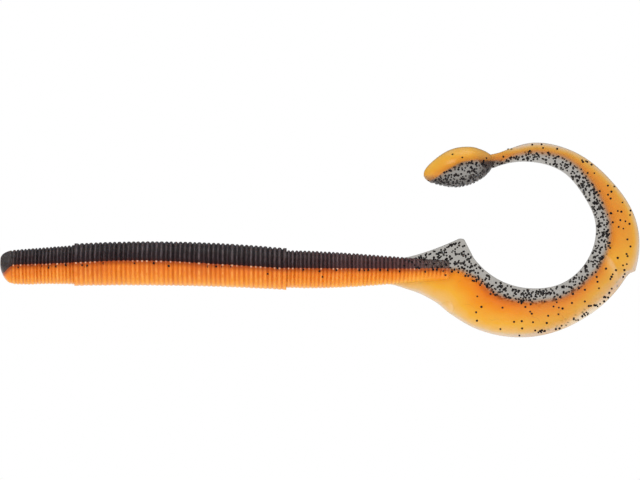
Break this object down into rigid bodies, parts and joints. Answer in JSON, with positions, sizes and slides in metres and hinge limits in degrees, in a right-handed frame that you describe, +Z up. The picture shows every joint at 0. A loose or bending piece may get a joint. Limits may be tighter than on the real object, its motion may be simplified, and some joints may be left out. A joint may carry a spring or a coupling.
{
  "type": "soft plastic fishing worm",
  "caption": "Ribbed two-colour soft plastic worm with a raised collar, a finned root and a wide ribbon tail that curls over to a small bulb.",
  "frame": {"origin": "where the axis of the body meets the blunt front of the nose", "axes": "+X from the nose towards the tail, +Z up towards the smoke-coloured back, +Y towards the left flank; the tail curls in the XZ plane"},
  "size_m": [0.1596, 0.011, 0.0486],
  "materials": {
    "smoke_back": "wet gloss, translucent, black flakes",
    "orange_belly": "wet gloss, translucent"
  },
  "bodies": {
    "nose": {"nose_back": "smoke_back", "nose_belly": "orange_belly"},
    "collar_1": {"collar_1_back": "smoke_back", "collar_1_belly": "orange_belly"},
    "collar_2": {"collar_2_back": "smoke_back", "collar_2_belly": "orange_belly"},
    "collar_3": {"collar_3_back": "smoke_back", "collar_3_belly": "orange_belly"},
    "collar_4": {"collar_4_back": "smoke_back", "collar_4_belly": "orange_belly"},
    "rear_1": {"rear_1_back": "smoke_back", "rear_1_belly": "orange_belly"},
    "rear_2": {"rear_2_back": "smoke_back", "rear_2_belly": "orange_belly"},
    "tail_root": {"tail_root_back": "smoke_back", "tail_root_belly": "orange_belly"},
    "tail_1": {"tail_1_back": "smoke_back", "tail_1_belly": "orange_belly"},
    "tail_2": {"tail_2_back": "smoke_back", "tail_2_belly": "orange_belly"},
    "tail_3": {"tail_3_back": "smoke_back", "tail_3_belly": "orange_belly"},
    "tail_4": {"tail_4_back": "smoke_back", "tail_4_belly": "orange_belly"},
    "tail_5": {"tail_5_back": "smoke_back", "tail_5_belly": "orange_belly"},
    "tail_6": {"tail_6_back": "smoke_back", "tail_6_belly": "orange_belly"},
    "tail_7": {"tail_7_back": "smoke_back", "tail_7_belly": "orange_belly"},
    "tail_8": {"tail_8_back": "smoke_back", "tail_8_belly": "orange_belly"},
    "tail_9": {"tail_9_back": "smoke_back", "tail_9_belly": "orange_belly"},
    "tail_10": {"tail_10_back": "smoke_back", "tail_10_belly": "orange_belly"},
    "tail_11": {"tail_11_back": "smoke_back", "tail_11_belly": "orange_belly"},
    "bulb": {"bulb_back": "smoke_back", "bulb_belly": "orange_belly"}
  },
  "joints": [
    {"name": "arch_front", "type": "hinge", "parent": "nose", "child": "collar_1", "pos_m": [0.0185, 0, 0.0006], "axis": [0, -1, 0], "range_deg": [-12, 12], "stiffness_Nm_per_rad": 0.03},
    {"name": "side_front", "type": "hinge", "parent": "collar_1", "child": "collar_2", "pos_m": [0.03175, 0, 0.00105], "axis": [0, 0, 1], "range_deg": [-15, 15], "stiffness_Nm_per_rad": 0.03},
    {"name": "arch_middle", "type": "hinge", "parent": "collar_2", "child": "collar_3", "pos_m": [0.045, 0, 0.00095], "axis": [0, -1, 0], "range_deg": [-12, 12], "stiffness_Nm_per_rad": 0.03},
    {"name": "side_middle", "type": "hinge", "parent": "collar_3", "child": "collar_4", "pos_m": [0.05825, 0, 0.00035], "axis": [0, 0, 1], "range_deg": [-15, 15], "stiffness_Nm_per_rad": 0.03},
    {"name": "arch_rear", "type": "hinge", "parent": "collar_4", "child": "rear_1", "pos_m": [0.0715, 0, -0.0005], "axis": [0, -1, 0], "range_deg": [-12, 12], "stiffness_Nm_per_rad": 0.03},
    {"name": "side_rear", "type": "hinge", "parent": "rear_1", "child": "rear_2", "pos_m": [0.0845, 0, -0.00075], "axis": [0, 0, 1], "range_deg": [-15, 15], "stiffness_Nm_per_rad": 0.03},
    {"name": "tail_sweep", "type": "hinge", "parent": "rear_2", "child": "tail_root", "pos_m": [0.0975, 0, -0.0008], "axis": [0, 0, 1], "range_deg": [-18, 18], "stiffness_Nm_per_rad": 0.009},
    {"name": "curl_1", "type": "hinge", "parent": "tail_root", "child": "tail_1", "pos_m": [0.11665, 0, -0.00617], "axis": [0, 1, 0], "range_deg": [0, 15], "stiffness_Nm_per_rad": 0.006},
    {"name": "wave_1", "type": "hinge", "parent": "tail_1", "child": "tail_2", "pos_m": [0.1251, 0, -0.01052], "axis": [0.342, 0, 0.9397], "range_deg": [-9, 9], "stiffness_Nm_per_rad": 0.0025},
    {"name": "curl_2", "type": "hinge", "parent": "tail_2", "child": "tail_3", "pos_m": [0.13427, 0, -0.01123], "axis": [0, 1, 0], "range_deg": [0, 15], "stiffness_Nm_per_rad": 0.006},
    {"name": "wave_2", "type": "hinge", "parent": "tail_3", "child": "tail_4", "pos_m": [0.14287, 0, -0.00853], "axis": [-0.4695, 0, 0.8829], "range_deg": [-9, 9], "stiffness_Nm_per_rad": 0.0025},
    {"name": "curl_3", "type": "hinge", "parent": "tail_4", "child": "tail_5", "pos_m": [0.14978, 0, -0.0028], "axis": [0, 1, 0], "range_deg": [0, 15], "stiffness_Nm_per_rad": 0.006},
    {"name": "wave_3", "type": "hinge", "parent": "tail_5", "child": "tail_6", "pos_m": [0.15404, 0, 0.00519], "axis": [-0.9703, 0, 0.2419], "range_deg": [-9, 9], "stiffness_Nm_per_rad": 0.0025},
    {"name": "curl_4", "type": "hinge", "parent": "tail_6", "child": "tail_7", "pos_m": [0.15282, 0, 0.01404], "axis": [0, 1, 0], "range_deg": [0, 15], "stiffness_Nm_per_rad": 0.006},
    {"name": "wave_4", "type": "hinge", "parent": "tail_7", "child": "tail_8", "pos_m": [0.1482, 0, 0.02092], "axis": [-0.829, 0, -0.5592], "range_deg": [-9, 9], "stiffness_Nm_per_rad": 0.0025},
    {"name": "curl_5", "type": "hinge", "parent": "tail_8", "child": "tail_9", "pos_m": [0.14246, 0, 0.02603], "axis": [0, 1, 0], "range_deg": [0, 15], "stiffness_Nm_per_rad": 0.006},
    {"name": "wave_5", "type": "hinge", "parent": "tail_9", "child": "tail_10", "pos_m": [0.13528, 0, 0.02853], "axis": [-0.1392, 0, -0.9903], "range_deg": [-9, 9], "stiffness_Nm_per_rad": 0.0025},
    {"name": "curl_6", "type": "hinge", "parent": "tail_10", "child": "tail_11", "pos_m": [0.12776, 0, 0.02789], "axis": [0, 1, 0], "range_deg": [0, 15], "stiffness_Nm_per_rad": 0.006},
    {"name": "bulb_swing", "type": "hinge", "parent": "tail_11", "child": "bulb", "pos_m": [0.12229, 0, 0.0266], "axis": [0.225, 0, -0.9744], "range_deg": [-18, 18], "stiffness_Nm_per_rad": 0.002}
  ],
  "couplings": [
    {"joint": "arch_middle", "follows": "arch_front", "ratio": 1},
    {"joint": "side_middle", "follows": "side_front", "ratio": 1},
    {"joint": "arch_rear", "follows": "arch_front", "ratio": 1},
    {"joint": "side_rear", "follows": "side_front", "ratio": 1},
    {"joint": "tail_sweep", "follows": "wave_1", "ratio": 2},
    {"joint": "curl_2", "follows": "curl_1", "ratio": 1},
    {"joint": "wave_2", "follows": "wave_1", "ratio": 1},
    {"joint": "curl_3", "follows": "curl_1", "ratio": 1},
    {"joint": "wave_3", "follows": "wave_1", "ratio": 1},
    {"joint": "curl_4", "follows": "curl_1", "ratio": 1},
    {"joint": "wave_4", "follows": "wave_1", "ratio": 1},
    {"joint": "curl_5", "follows": "curl_1", "ratio": 1},
    {"joint": "wave_5", "follows": "wave_1", "ratio": 1},
    {"joint": "curl_6", "follows": "curl_1", "ratio": 1},
    {"joint": "bulb_swing", "follows": "wave_1", "ratio": 2}
  ]
}
